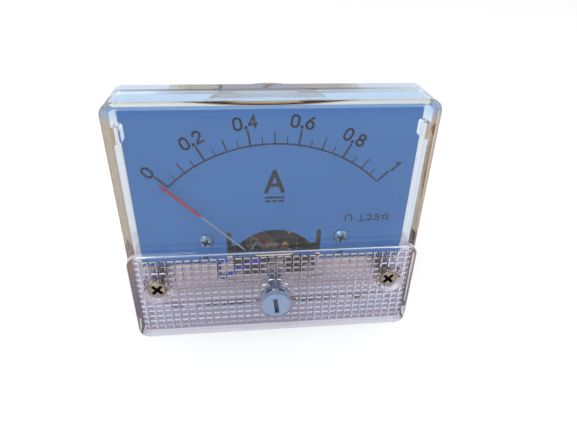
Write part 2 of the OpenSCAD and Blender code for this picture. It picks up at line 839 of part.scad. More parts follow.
module coil_winding() {
    color(copper) at_rest()
        loop(former_r, coil_r, ring_rear_depth - coil_gap - former_t, coil_rear,
            ring_depth + coil_gap + former_t, coil_front, coil_w - 0.4);
}

module front_staff() {
    tip = jewel_mouth_depth + pivot_l;
    color(nickel) at_pivot() {
        rod(0, 0, coil_front, coil_front + pivot_base_t, pivot_base_d);
        rod(0, 0, coil_front, jewel_mouth_depth - moving_gap, staff_d);
        rod(0, 0, jewel_mouth_depth - moving_gap - slice, tip, pivot_d);
    }
}

module rear_staff() {
    tip = rear_mouth_depth - pivot_l;
    color(nickel) at_pivot() {
        rod(0, 0, coil_rear - pivot_base_t, coil_rear, pivot_base_d);
        rod(0, 0, rear_mouth_depth + moving_gap, coil_rear, staff_d);
        rod(0, 0, tip, rear_mouth_depth + moving_gap + slice, pivot_d);
    }
}

// The pointer leaves the staff behind the bridge and rises through the dial's cut-out.
module pointer() {
    half = wire_w / 2;
    color([0.8, 0.16, 0.14]) at_rest() {
        slab(root_depth - half, root_depth + half) {
            difference() {
                union() {
                    circle(d = staff_d + 1.2);
                    translate([-half, 0]) square([wire_w, crank_in_r]);
                    translate([-half, -tail_l]) square([wire_w, tail_l]);
                    translate([-tail_l, -half]) square([2 * tail_l, wire_w]);
                }
                circle(d = staff_d);
            }
        }
        across(-half, half) polygon([
            [half - root_depth, crank_in_r - wire_w], [-half - root_depth, crank_in_r - wire_w],
            [-half - root_depth, crank_in_r], [-half - pointer_depth, crank_out_r],
            [half - pointer_depth, crank_out_r + wire_w], [half - root_depth, crank_in_r + wire_w]]);
        slab(pointer_depth - half, pointer_depth + half) polygon([
            [-half, crank_out_r], [half, crank_out_r], [half, blade_r],
            [pointer_blade_w / 2, blade_r + 0.4], [pointer_blade_w / 2, pointer_l - 1.2],
            [0.1, pointer_l], [-0.1, pointer_l], [-pointer_blade_w / 2, pointer_l - 1.2],
            [-pointer_blade_w / 2, blade_r + 0.4], [-half, blade_r]]);
    }
}

// Small coils of wire on the pointer's tail and side arms, which balance it.
module balance_weights() {
    color(brass) at_rest() translate([0, -root_depth, 0]) difference() {
        for (a = [90, 180, 270]) rotate([0, a, 0])
            translate([0, 0, weight_r - weight_l / 2]) cylinder(d = weight_d, h = weight_l);
        cube([2 * tail_l + 1, wire_w, wire_w], center = true);
        translate([0, 0, -tail_l]) cube([wire_w, wire_w, 2 * tail_l], center = true);
    }
}

// ---- Zero adjuster ----

// The head's section, with fine ridges round its rear end.
module adjuster_head(seat, face) {
    r = adjuster_head_d / 2;
    ridges = [for (i = [0 : adjuster_ridges - 1]) each
        [[r - adjuster_ridge_h, seat + i * adjuster_ridge_w],
            [r, seat + (i + 0.5) * adjuster_ridge_w]]];
    turned(0, 0) polygon(concat([[0, seat]], ridges, [[r, face - 0.3], [r - 0.3, face], [0, face]]));
}

module zero_adjuster() {
    face = strip_depth + adjuster_out;
    seat = strip_depth - adjuster_well + running_gap;
    color([0.93, 0.93, 0.95]) translate([0, 0, adjuster_z]) difference() {
        union() {
            adjuster_head(seat, face);
            rod(0, 0, keeper_depth - adjuster_keeper_t, seat + slice, adjuster_shaft_d);
            rod(0, 0, keeper_depth - adjuster_keeper_t, keeper_depth, adjuster_keeper_d);
            slab(keeper_depth - adjuster_keeper_t, keeper_depth)
                translate([-adjuster_lug_w / 2, -adjuster_lug_r])
                    square([adjuster_lug_w, adjuster_lug_r]);
            rod(0, adjuster_throw, lever_depth - lever_t - 0.3,
                keeper_depth - adjuster_keeper_t + slice, adjuster_pin_d);
        }
        swing(-7) slotted(adjuster_slot_l, adjuster_slot_w, adjuster_slot_h, face);
    }
}

// ---- Terminals and wiring ----

module terminal(side) {
    color(brass) translate([side * terminal_x, 0, terminal_rise]) {
        slab(barrel_floor, barrel_floor + terminal_head_h) hexagon(terminal_head_w);
        rod(0, 0, terminal_nut_rear, barrel_floor + slice, terminal_shank_d);
        rod(0, 0, -barrel_l - terminal_out, terminal_nut_rear + slice, terminal_d);
    }
}

module on_terminal(side, rear, t) {
    translate([side * terminal_x, 0, terminal_rise]) slab(rear - t, rear) children();
}

module terminal_washer(side) {
    color(nickel) on_terminal(side, -barrel_l - rim_step, terminal_washer_t) difference() {
        circle(d = terminal_washer_d);
        circle(d = terminal_shank_d);
    }
}

module terminal_nut(side) {
    color(brass) on_terminal(side, terminal_nut_rear + terminal_nut_h, terminal_nut_h)
        difference() {
            hexagon(terminal_nut_w);
            circle(d = terminal_shank_d);
        }
}

// A solder tag under each terminal's head, where its lead ends.
module terminal_tag(side) {
    translate([side * terminal_x, 0, terminal_rise])
        color(nickel) slab(barrel_floor + terminal_head_h, barrel_floor + terminal_head_h + terminal_tag_t)
            difference() {
                union() {
                    circle(d = terminal_tag_d);
                    translate([-terminal_tag_w / 2, -terminal_tag_l])
                        square([terminal_tag_w, terminal_tag_l]);
                }
                circle(d = terminal_tag_hole_d);
            }
}

// The shunt: a resistance strip that joins the two terminals.
module shunt() {
    back = barrel_floor + terminal_head_h + terminal_tag_t;
    color([0.55, 0.5, 0.45]) slab(back, back + shunt_t) translate([0, terminal_rise]) {
        square([terminal_spacing, shunt_w], center = true);
        for (s = [-1, 1]) translate([s * terminal_x, 0]) circle(d = shunt_eye_d);
    }
}

// A round lead swept along its route as one closed skin.
function unit(v) = v / norm(v);
function tangent(p, i) = unit(p[min(i + 1, len(p) - 1)] - p[max(i - 1, 0)]);
function ring_points(p, i, d, sides) =
    let (t = tangent(p, i), u = unit(cross(t, [0.3, 0.2, 1])), v = cross(t, u))
    [for (k = [0 : sides - 1]) p[i] + d / 2 * (cos(360 * k / sides) * u + sin(360 * k / sides) * v)];

module lead(route, d) {
    sides = 8;
    p = [for (q = route) [q[0], -q[1], q[2]]];
    n = len(p);
    skin = [for (i = [0 : n - 2], k = [0 : sides - 1])
        let (a = i * sides + k, b = i * sides + (k + 1) % sides)
        [a, b, b + sides, a + sides]];
    polyhedron([for (i = [0 : n - 1]) each ring_points(p, i, d, sides)],
        concat([[for (k = [sides - 1 : -1 : 0]) k]], skin,
            [[for (k = [0 : sides - 1]) (n - 1) * sides + k]]));
}

module blue_lead() { color([0.05, 0.25, 0.8]) lead(blue_route, lead_d); }

module red_lead() { color([0.75, 0.1, 0.08]) lead(red_route, lead_d); }

rear_case();
front_cover();
cover_screw(-1);  // cover_screw_left
cover_screw(1);  // cover_screw_right
dial_plate();
scale_marks();
dial_screw(-1);  // dial_screw_left
dial_screw(1);  // dial_screw_right
dial_post(-1);  // dial_post_left
dial_post(1);  // dial_post_right
movement_frame();
frame_screw(-1);  // frame_screw_left
frame_screw(1);  // frame_screw_right
iron_ring();
magnet_core();
core_pin();
front_bridge();
bridge_screw(-1);  // bridge_screw_left
bridge_screw(1);  // bridge_screw_right
front_jewel();
front_jewel_nut();
rear_bridge();
rear_jewel();
rear_jewel_nut();
stop_pin(-1);  // stop_pin_left
stop_pin(1);  // stop_pin_right
front_hairspring();
rear_hairspring();
spring_tag();
zero_lever();
coil_former();
coil_winding();
front_staff();
rear_staff();
pointer();
balance_weights();
zero_adjuster();
terminal(-1);  // terminal_left
terminal(1);  // terminal_right
terminal_nut(-1);  // terminal_nut_left
terminal_nut(1);  // terminal_nut_right
terminal_washer(-1);  // terminal_washer_left
terminal_washer(1);  // terminal_washer_right
terminal_tag(-1);  // terminal_tag_left
terminal_tag(1);  // terminal_tag_right
shunt();
blue_lead();
red_lead();
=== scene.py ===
"""Looks of an analog panel meter: its finishes, dial printing and screw threads.

The solids come packed, in metres. The panel seats at y = 0, the face looks
along -Y, the barrel runs along +Y and +Z is up. Sizes in this file are written
in millimetres and turned to metres where a mesh is placed.
"""

import logging
import math
from dataclasses import dataclass, field
from enum import Enum
from typing import Sequence

import bmesh
import bpy
from mathutils import Matrix, Vector


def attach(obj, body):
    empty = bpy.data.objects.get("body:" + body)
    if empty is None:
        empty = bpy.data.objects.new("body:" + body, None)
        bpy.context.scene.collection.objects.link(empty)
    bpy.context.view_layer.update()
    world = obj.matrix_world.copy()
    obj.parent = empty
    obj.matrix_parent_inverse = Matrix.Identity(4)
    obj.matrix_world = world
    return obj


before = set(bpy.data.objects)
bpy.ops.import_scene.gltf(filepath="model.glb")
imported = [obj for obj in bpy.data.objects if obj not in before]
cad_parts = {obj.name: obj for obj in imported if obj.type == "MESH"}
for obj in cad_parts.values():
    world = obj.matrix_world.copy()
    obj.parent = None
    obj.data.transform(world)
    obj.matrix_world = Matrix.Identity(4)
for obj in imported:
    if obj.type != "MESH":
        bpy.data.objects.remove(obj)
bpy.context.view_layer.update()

LOG = logging.getLogger("panel_meter")
MM = 0.001
HOUSING = "housing"

Colour = tuple[float, float, float]
Point = tuple[float, float]


def srgb(red: int, green: int, blue: int) -> Colour:
    """Turns a colour written in 0 to 255 into linear light.

    Args:
        red: The red share, 0 to 255.
        green: The green share, 0 to 255.
        blue: The blue share, 0 to 255.

    Returns:
        The three shares in linear light, 0 to 1.
    """

    def linear(byte: int) -> float:
        """One share in linear light."""
        share = byte / 255
        return share / 12.92 if share <= 0.04045 else ((share + 0.055) / 1.055) ** 2.4

    return linear(red), linear(green), linear(blue)


class Slot(Enum):
    """The material slots given for the new pieces."""

    NICKEL = "nickel_steel"
    INK = "dial_ink"
    BRASS = "brass"


# ---- Shader nodes ----


class Graph:
    """A node tree, with short calls that add and join its nodes."""

    def __init__(self, tree: bpy.types.NodeTree) -> None:
        """Keeps the tree that the nodes go into."""
        self.tree = tree

    def add(self, kind: str, **values: object) -> bpy.types.Node:
        """Adds a node.

        Args:
            kind: The node's Blender type.
            **values: Attributes of the node, such as an operation.

        Returns:
            The new node.
        """
        node = self.tree.nodes.new(kind)
        for name, value in values.items():
            setattr(node, name, value)
        return node

    def feed(self, node: bpy.types.Node, **inputs: object) -> bpy.types.Node:
        """Sets or links a node's inputs, with _ for a space in a socket's name.

        Args:
            node: The node to feed.
            **inputs: Plain values or output sockets, by socket name.

        Returns:
            The same node.
        """
        for name, value in inputs.items():
            key = int(name[1:]) if name[0] == "i" and name[1:].isdigit() else name.replace("_", " ")
            socket = node.inputs[key]
            if isinstance(value, bpy.types.NodeSocket):
                self.tree.links.new(value, socket)
            else:
                socket.default_value = value
        return node

    def math(self, operation: str, first: object, second: object = 0.0) -> bpy.types.NodeSocket:
        """Joins two numbers by an operation and returns the result's socket."""
        node = self.add("ShaderNodeMath", operation=operation)
        return self.feed(node, i0=first, i1=second).outputs[0]

    def place(self, group: bpy.types.NodeTree, **inputs: object) -> bpy.types.Node:
        """Puts a shared group into this tree and feeds it."""
        node = self.add("ShaderNodeGroup", node_tree=group)
        return self.feed(node, **inputs)


def shared_group(
    name: str, inputs: dict[str, tuple[str, object]], outputs: dict[str, str]
) -> tuple[bpy.types.NodeTree, Graph, bpy.types.Node, bpy.types.Node]:
    """Starts a node group with named sockets.

    Args:
        name: The group's name.
        inputs: Each input's socket type and default value, by name.
        outputs: Each output's socket type, by name.

    Returns:
        The group, its graph, and its input and output nodes.
    """
    group = bpy.data.node_groups.new(name, "ShaderNodeTree")
    for key, (kind, value) in inputs.items():
        socket = group.interface.new_socket(key, in_out="INPUT", socket_type=kind)
        if value is not None:
            socket.default_value = value
    for key, kind in outputs.items():
        group.interface.new_socket(key, in_out="OUTPUT", socket_type=kind)
    graph = Graph(group)
    return group, graph, graph.add("NodeGroupInput"), graph.add("NodeGroupOutput")


NUMBER, COLOUR, VECTOR = "NodeSocketFloat", "NodeSocketColor", "NodeSocketVector"


@dataclass(frozen=True)
class SharedEffects:
    """The node groups that several finishes use."""

    drift: bpy.types.NodeTree
    handling: bpy.types.NodeTree
    grain: bpy.types.NodeTree
    zone: bpy.types.NodeTree

    @classmethod
    def make(cls) -> "SharedEffects":
        """Builds every shared group once."""
        return cls(cls.make_drift(), cls.make_handling(), cls.make_grain(), cls.make_zone())

    @staticmethod
    def make_zone() -> bpy.types.NodeTree:
        """A mask inside a drum along Y, mirrored from one side of the part to the other."""
        group, graph, given, out = shared_group(
            "drum_zone",
            {
                "Place": (VECTOR, None),
                "Across": (NUMBER, 0.0),
                "Up": (NUMBER, 0.0),
                "Reach": (NUMBER, 0.001),
                "Front": (NUMBER, -1.0),
                "Back": (NUMBER, 1.0),
                "Edge": (NUMBER, 0.0001),
            },
            {"Mask": NUMBER},
        )
        apart = graph.feed(graph.add("ShaderNodeSeparateXYZ"), Vector=given.outputs[0])
        across = graph.math("SUBTRACT", graph.math("ABSOLUTE", apart.outputs[0]), given.outputs[1])
        up = graph.math("SUBTRACT", apart.outputs[2], given.outputs[2])
        squares = [graph.math("MULTIPLY", side, side) for side in (across, up)]
        radius = graph.math("SQRT", graph.math("ADD", squares[0], squares[1]))

        def within(distance: bpy.types.NodeSocket) -> bpy.types.NodeSocket:
            """Turns a distance inside a limit into a mask with a soft edge."""
            share = graph.add("ShaderNodeMapRange")
            graph.feed(share, Value=distance, From_Min=0.0, From_Max=given.outputs[6])
            return share.outputs[0]

        masks = [
            within(graph.math("SUBTRACT", given.outputs[3], radius)),
            within(graph.math("SUBTRACT", apart.outputs[1], given.outputs[4])),
            within(graph.math("SUBTRACT", given.outputs[5], apart.outputs[1])),
        ]
        inside = graph.math("MULTIPLY", graph.math("MULTIPLY", masks[0], masks[1]), masks[2])
        graph.feed(out, i0=inside)
        return group

    @staticmethod
    def make_drift() -> bpy.types.NodeTree:
        """Two tones that drift into each other over a few millimetres."""
        group, graph, given, out = shared_group(
            "tone_drift",
            {
                "Place": (VECTOR, None),
                "Tone": (COLOUR, (0.8, 0.8, 0.8, 1)),
                "Second": (COLOUR, (0.7, 0.7, 0.7, 1)),
                "Scale": (NUMBER, 100.0),
            },
            {"Tone": COLOUR, "Mask": NUMBER},
        )
        noise = graph.add("ShaderNodeTexNoise")
        graph.feed(
            noise, Vector=given.outputs[0], Scale=given.outputs[3], Detail=3.0, Roughness=0.55
        )
        spread = graph.feed(
            graph.add("ShaderNodeMapRange"), Value=noise.outputs[0], From_Min=0.35, From_Max=0.65
        )
        mix = graph.add("ShaderNodeMix", data_type="RGBA")
        graph.feed(mix, i0=spread.outputs[0], i6=given.outputs[1], i7=given.outputs[2])
        graph.feed(out, i0=mix.outputs[2], i1=spread.outputs[0])
        return group

    @staticmethod
    def make_handling() -> bpy.types.NodeTree:
        """Roughness that changes where a surface has been touched or rubbed."""
        group, graph, given, out = shared_group(
            "handling_marks",
            {
                "Place": (VECTOR, None),
                "Smoothest": (NUMBER, 0.2),
                "Roughest": (NUMBER, 0.4),
                "Scale": (NUMBER, 250.0),
            },
            {"Roughness": NUMBER},
        )
        wide = graph.add("ShaderNodeTexNoise")
        graph.feed(wide, Vector=given.outputs[0], Scale=given.outputs[3], Detail=4.0, Roughness=0.6)
        fitted = graph.add("ShaderNodeMapRange")
        graph.feed(
            fitted,
            Value=wide.outputs[0],
            From_Min=0.3,
            From_Max=0.7,
            To_Min=given.outputs[1],
            To_Max=given.outputs[2],
        )
        graph.feed(out, i0=fitted.outputs[0])
        return group

    @staticmethod
    def make_grain() -> bpy.types.NodeTree:
        """The fine height of a cast, rolled or moulded surface."""
        group, graph, given, out = shared_group(
            "surface_grain",
            {"Place": (VECTOR, None), "Scale": (NUMBER, 3000.0), "Stretch": (VECTOR, (1, 1, 1))},
            {"Height": NUMBER},
        )
        turned = graph.add("ShaderNodeVectorMath", operation="MULTIPLY")
        graph.feed(turned, i0=given.outputs[0], i1=given.outputs[2])
        noise = graph.add("ShaderNodeTexNoise")
        graph.feed(
            noise, Vector=turned.outputs[0], Scale=given.outputs[1], Detail=2.0, Roughness=0.5
        )
        graph.feed(out, i0=noise.outputs[0])
        return group


def new_material(name: str) -> tuple[bpy.types.Material, Graph, bpy.types.Node, bpy.types.Node]:
    """Starts a material with a Principled shader and an output.

    Args:
        name: The material's name.

    Returns:
        The material, its graph, its Principled node and its output node.
    """
    material = bpy.data.materials.new(name)
    material.use_nodes = True
    material.node_tree.nodes.clear()
    graph = Graph(material.node_tree)
    shader = graph.add("ShaderNodeBsdfPrincipled")
    out = graph.add("ShaderNodeOutputMaterial")
    graph.feed(out, Surface=shader.outputs[0])
    return material, graph, shader, out


@dataclass(frozen=True)
class Zone:
    """A drum-shaped region, in millimetres, that lays a tone over a finish.

    The drum's axis lies along Y. Across and up give its middle, reach its
    radius, and front and back the depths of its ends. The pointer's zone is
    real two-tone paint; the zones in the screw and knob recesses are painted
    shade; on the clear plastic they are painted sky reflection and painted shade.
    """

    tone: Colour
    reach: float
    across: float = 0.0
    up: float = 0.0
    front: float = 100.0
    back: float = -100.0
    edge: float = 0.1

    def blend(
        self,
        graph: Graph,
        effects: SharedEffects,
        place: bpy.types.NodeSocket,
        base: bpy.types.NodeSocket,
    ) -> bpy.types.NodeSocket:
        """Lays the zone's tone over a colour.

        Args:
            graph: The material's graph.
            effects: The shared node groups.
            place: The surface's coordinates.
            base: The colour outside the zone.

        Returns:
            The blended colour.
        """
        mask = graph.place(
            effects.zone,
            Place=place,
            Across=self.across * MM,
            Up=self.up * MM,
            Reach=self.reach * MM,
            Front=-self.front * MM,
            Back=-self.back * MM,
            Edge=self.edge * MM,
        )
        mix = graph.add("ShaderNodeMix", data_type="RGBA")
        graph.feed(mix, i0=mask.outputs[0], i6=base, i7=(*self.tone, 1))
        return mix.outputs[2]


@dataclass(frozen=True)
class OpaqueFinish:
    """A metal, paint, moulding or print with drifting tone, touch marks and grain."""

    name: str
    tone: Colour
    second: Colour
    smoothest: float = 0.25
    roughest: float = 0.4
    metallic: float = 0.0
    drift_scale: float = 220.0
    grain_scale: float = 4000.0
    grain_stretch: tuple[float, float, float] = (1.0, 1.0, 1.0)
    grain_height: float = 0.004
    coat: float = 0.0
    zone: Zone | None = None

    def make(self, effects: SharedEffects) -> bpy.types.Material:
        """Builds the material.

        Args:
            effects: The shared node groups.

        Returns:
            The finished material.
        """
        material, graph, shader, _ = new_material(self.name)
        place = graph.add("ShaderNodeTexCoord").outputs["Object"]
        drift = graph.place(
            effects.drift,
            Place=place,
            Tone=(*self.tone, 1),
            Second=(*self.second, 1),
            Scale=self.drift_scale,
        )
        touch = graph.place(
            effects.handling, Place=place, Smoothest=self.smoothest, Roughest=self.roughest
        )
        grain = graph.place(
            effects.grain, Place=place, Scale=self.grain_scale, Stretch=self.grain_stretch
        )
        bump = graph.add("ShaderNodeBump")
        graph.feed(bump, Height=grain.outputs[0], Strength=0.6, Distance=self.grain_height * MM)
        colour = drift.outputs[0]
        if self.zone is not None:
            colour = self.zone.blend(graph, effects, place, colour)
        graph.feed(
            shader,
            Base_Color=colour,
            Roughness=touch.outputs[0],
            Normal=bump.outputs[0],
            Metallic=self.metallic,
            Coat_Weight=self.coat,
        )
        return material


@dataclass(frozen=True)
class ClearFinish:
    """Clear moulded plastic that lets lamps through to what it covers, with painted sky reflection
    and painted shade laid on by its zones.
    """

    name: str
    tint: Colour
    roughness: float = 0.03
    ior: float = 1.3
    ripple: float = 0.002
    ripple_scale: float = 300.0
    most_mirrored: int = 1
    most_crossed: int = 7
    # Tones laid over the tint by place: a painted sky reflection on top and painted shade lower
    # down.
    painted_light_zones: tuple[Zone, ...] = ()
    lamp_share: float = 0.5

    def make(self, effects: SharedEffects) -> bpy.types.Material:
        """Builds the material.

        Args:
            effects: The shared node groups.

        Returns:
            The finished material.
        """
        material, graph, shader, out = new_material(self.name)
        place = graph.add("ShaderNodeTexCoord").outputs["Object"]
        drift = graph.place(
            effects.drift,
            Place=place,
            Tone=(*self.tint, 1),
            Second=(*(v * 0.985 for v in self.tint), 1),
            Scale=60.0,
        )
        touch = graph.place(
            effects.handling,
            Place=place,
            Smoothest=self.roughness * 0.6,
            Roughest=self.roughness * 1.4,
        )
        grain = graph.place(effects.grain, Place=place, Scale=self.ripple_scale)
        bump = graph.add("ShaderNodeBump")
        graph.feed(bump, Height=grain.outputs[0], Strength=0.5, Distance=self.ripple * MM)
        colour = drift.outputs[0]
        # Lays the painted reflection and painted shade over the tint.
        for zone in self.painted_light_zones:
            colour = zone.blend(graph, effects, place, colour)
        graph.feed(
            shader,
            Base_Color=colour,
            Roughness=touch.outputs[0],
            Normal=bump.outputs[0],
            Metallic=0.0,
            IOR=self.ior,
            Transmission_Weight=1.0,
        )
        path = graph.add("ShaderNodeLightPath")
        lamps = graph.math("MAXIMUM", path.outputs["Is Shadow Ray"], path.outputs["Is Diffuse Ray"])
        trapped = graph.math("GREATER_THAN", path.outputs["Glossy Depth"], self.most_mirrored + 0.5)
        lost = graph.math("GREATER_THAN", path.outputs["Ray Depth"], self.most_crossed + 0.5)
        lamps = graph.math("MAXIMUM", lamps, graph.math("MAXIMUM", trapped, lost))
        through = graph.add("ShaderNodeBsdfTransparent")
        graph.feed(through, Color=(*(1 - self.lamp_share * (1 - v) for v in self.tint), 1))
        mix = graph.add("ShaderNodeMixShader")
        graph.feed(mix, i0=lamps, i1=shader.outputs[0], i2=through.outputs[0])
        graph.feed(out, Surface=mix.outputs[0])
        return material


FINISHES: dict[str, OpaqueFinish | ClearFinish] = {
    "cover": ClearFinish(
        "clear_cover",
        (0.84, 0.9, 0.97),
        ior=1.42,
        painted_light_zones=(
            # Painted reflection: the top of the cover is tinted blue like a mirrored sky. Painted
            # shade: below z = -4.9 mm the cover turns darker and lilac, and darker still below
            # about -18 mm, standing in for the dim things seen through it.
            Zone((0.62, 0.8, 0.98), 2000.0, up=2024.0, edge=2.0),
            Zone((0.6, 0.58, 0.68), 2000.0, up=-2004.9, edge=1.0),
            Zone((0.5, 0.46, 0.55), 2000.0, up=-2018.0, edge=5.0),
        ),
    ),
    "case": ClearFinish(
        "clear_case",
        (0.8, 0.68, 0.55),
        roughness=0.05,
        ripple=0.004,
        painted_light_zones=(
            # Painted reflection: the top of the case is tinted blue like a mirrored sky. Painted
            # shade: below z = -12 mm it turns darker and lilac.
            Zone((0.6, 0.72, 0.9), 2000.0, up=2022.0, edge=3.0),
            Zone((0.62, 0.58, 0.66), 2000.0, up=-2012.0, edge=6.0),
        ),
    ),
    "nickel": OpaqueFinish(
        "zinc_plated_steel", srgb(196, 188, 172), srgb(168, 160, 148), 0.22, 0.42, 1.0
    ),
    "knob": OpaqueFinish(
        "pale_knob",
        srgb(152, 172, 206),
        srgb(140, 162, 198),
        0.3,
        0.45,
        grain_height=0.003,
        # Painted shade: the slot of the zero adjuster is painted dark grey-blue.
        zone=Zone(srgb(96, 108, 140), 2.4, up=-18.7, front=14.8, back=13.7),
    ),
    "cover_screw": OpaqueFinish(
        "zinc_plated_screw",
        srgb(176, 162, 140),
        srgb(146, 134, 118),
        0.25,
        0.45,
        1.0,
        # Painted shade: the recess in each cover screw head is painted nearly black.
        zone=Zone(srgb(34, 34, 48), 1.75, 26.5, -14.4, 12.12, 11.2, 0.12),
    ),
    "dial_screw": OpaqueFinish(
        "nickelled_screw",
        srgb(150, 176, 196),
        srgb(110, 136, 160),
        0.16,
        0.34,
        1.0,
        # Painted shade: the cross recess of each dial screw is painted dark blue.
        zone=Zone(srgb(28, 44, 66), 1.3, 15.2, -4.6, 8.18, 7.4, 0.1),
    ),
    "dial": OpaqueFinish(
        "dial_lacquer",
        srgb(52, 118, 182),
        srgb(47, 113, 178),
        0.42,
        0.52,
        drift_scale=60.0,
        grain_height=0.0015,
        coat=0.15,
    ),
    "ink": OpaqueFinish("dial_ink", srgb(10, 12, 34), srgb(14, 16, 44), 0.5, 0.6),
    "brass": OpaqueFinish("brass", srgb(206, 168, 98), srgb(178, 140, 80), 0.2, 0.4, 1.0),
    "olive": OpaqueFinish(
        "olive_iron", srgb(70, 64, 56), srgb(44, 40, 38), 0.35, 0.55, 0.7, grain_height=0.01
    ),
    "magnet": OpaqueFinish(
        "cast_magnet", srgb(70, 66, 70), srgb(40, 36, 42), 0.35, 0.6, 0.85, grain_height=0.02
    ),
    "aluminium": OpaqueFinish(
        "aluminium_former", srgb(200, 202, 206), srgb(176, 178, 184), 0.25, 0.4, 1.0
    ),
    "copper": OpaqueFinish(
        "enamelled_winding", srgb(168, 84, 44), srgb(128, 58, 30), 0.25, 0.4, 0.9, coat=0.6
    ),
    "pointer": OpaqueFinish(
        "pointer_paint",
        srgb(182, 18, 44),
        srgb(168, 16, 40),
        0.35,
        0.45,
        zone=Zone(srgb(150, 156, 168), 22.2, up=-12.9),
    ),
    "shunt": OpaqueFinish("shunt_alloy", srgb(150, 132, 112), srgb(120, 104, 90), 0.3, 0.5, 0.95),
    "blue_lead": OpaqueFinish("blue_lead_skin", srgb(24, 74, 196), srgb(16, 58, 170), 0.3, 0.45),
    "red_lead": OpaqueFinish("red_lead_skin", srgb(190, 34, 30), srgb(160, 24, 24), 0.3, 0.45),
}

NODE_FINISHES: dict[str, str] = {
    "rear_case": "case",
    "front_cover": "cover",
    "dial_plate": "dial",
    "scale_marks": "ink",
    "movement_frame": "olive",
    "iron_ring": "olive",
    "front_bridge": "olive",
    "rear_bridge": "olive",
    "magnet_core": "magnet",
    "core_pin": "brass",
    "dial_post_left": "brass",
    "dial_post_right": "brass",
    "front_hairspring": "brass",
    "rear_hairspring": "brass",
    "balance_weights": "brass",
    "terminal_left": "brass",
    "terminal_right": "brass",
    "terminal_nut_left": "brass",
    "terminal_nut_right": "brass",
    "coil_former": "aluminium",
    "coil_winding": "copper",
    "pointer": "pointer",
    "zero_adjuster": "knob",
    "shunt": "shunt",
    "blue_lead": "blue_lead",
    "red_lead": "red_lead",
    "dial_screw_left": "dial_screw",
    "dial_screw_right": "dial_screw",
    "cover_screw_left": "cover_screw",
    "cover_screw_right": "cover_screw",
}


@dataclass
class Workshop:
    """What every sub-assembly needs: the materials and the list of pieces made."""

    effects: SharedEffects
    materials: dict[str, bpy.types.Material] = field(default_factory=dict)
    pieces: list[str] = field(default_factory=list)

    def material(self, key: str) -> bpy.types.Material:
        """Gives a finish's material, built the first time it is asked for."""
        if key not in self.materials:
            self.materials[key] = FINISHES[key].make(self.effects)
        return self.materials[key]

    def piece(
        self, name: str, mesh: bmesh.types.BMesh, finish: str, slot: Slot, body: str = HOUSING
    ) -> bpy.types.Object:
        """Turns a bmesh, drawn in millimetres, into a piece that rides on a body.

        Args:
            name: The piece's name.
            mesh: Its shape, which is freed.
            finish: The key of its finish.
            slot: The part's material slot, which is not used.
            body: The body it rides on.

        Returns:
            The new object.
        """
        bmesh.ops.scale(mesh, vec=(MM, MM, MM), verts=mesh.verts)
        data = bpy.data.meshes.new(name)
        mesh.to_mesh(data)
        mesh.free()
        data.materials.append(self.material(finish))
        thing = bpy.data.objects.new(name, data)
        bpy.context.scene.collection.objects.link(thing)
        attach(thing, body)
        self.pieces.append(name)
        LOG.info("%s: %d faces on %s", name, len(data.polygons), body)
        return thing


# ---- Shapes ----


def facing(depth: float) -> Matrix:
    """Stands a drawing made in x and y up into x and z, at a depth in front of the panel."""
    return Matrix.Translation((0, -depth, 0)) @ Matrix.Rotation(math.radians(90), 4, "X")


def arc(centre: Point, radii: Point, start: float, end: float, steps: int = 10) -> list[Point]:
    """Points along an ellipse's arc.

    Args:
        centre: The ellipse's middle.
        radii: Its half width and half height.
        start: The first angle in degrees, from +X towards +Y.
        end: The last angle in degrees.
        steps: How many steps lie between them.

    Returns:
        The points, both ends included.
    """
    angles = [math.radians(start + (end - start) * i / steps) for i in range(steps + 1)]
    return [
        (centre[0] + radii[0] * math.cos(a), centre[1] + radii[1] * math.sin(a)) for a in angles
    ]


def glyph_strokes(char: str) -> list[list[Point]]:
    """The pen strokes of one character in a box one high.

    Args:
        char: A digit, a point or the letter A.

    Returns:
        Its strokes, each a row of points.
    """
    shapes: dict[str, list[list[Point]]] = {
        "0": [
            arc((0.32, 0.68), (0.3, 0.32), 0, 180)
            + arc((0.32, 0.32), (0.3, 0.32), 180, 360)
            + [(0.62, 0.68)]
        ],
        "1": [[(0.12, 0.76), (0.36, 1.0), (0.36, 0.0)]],
        "2": [arc((0.31, 0.7), (0.29, 0.3), 170, -35) + [(0.02, 0.0), (0.62, 0.0)]],
        "4": [[(0.48, 0.0), (0.48, 1.0), (0.0, 0.28), (0.66, 0.28)]],
        "5": [[(0.56, 1.0), (0.1, 1.0), (0.05, 0.55)] + arc((0.3, 0.32), (0.31, 0.32), 130, -150)],
        "6": [
            arc((0.33, 0.32), (0.3, 0.32), 135, -225, 16),
            [(0.55, 0.98), (0.32, 0.82), (0.11, 0.55), (0.03, 0.32)],
        ],
        "8": [
            arc((0.32, 0.27), (0.31, 0.27), 90, 450, 16),
            arc((0.32, 0.77), (0.26, 0.23), 90, 450, 16),
        ],
        ".": [[(0.06, 0.04), (0.14, 0.04), (0.14, 0.12), (0.06, 0.12), (0.06, 0.04)]],
        "A": [[(0.0, 0.0), (0.37, 1.0), (0.74, 0.0)], [(0.14, 0.33), (0.6, 0.33)]],
    }
    return shapes[char]


GLYPH_WIDTHS: dict[str, float] = {"1": 0.4, ".": 0.2, "A": 0.74}


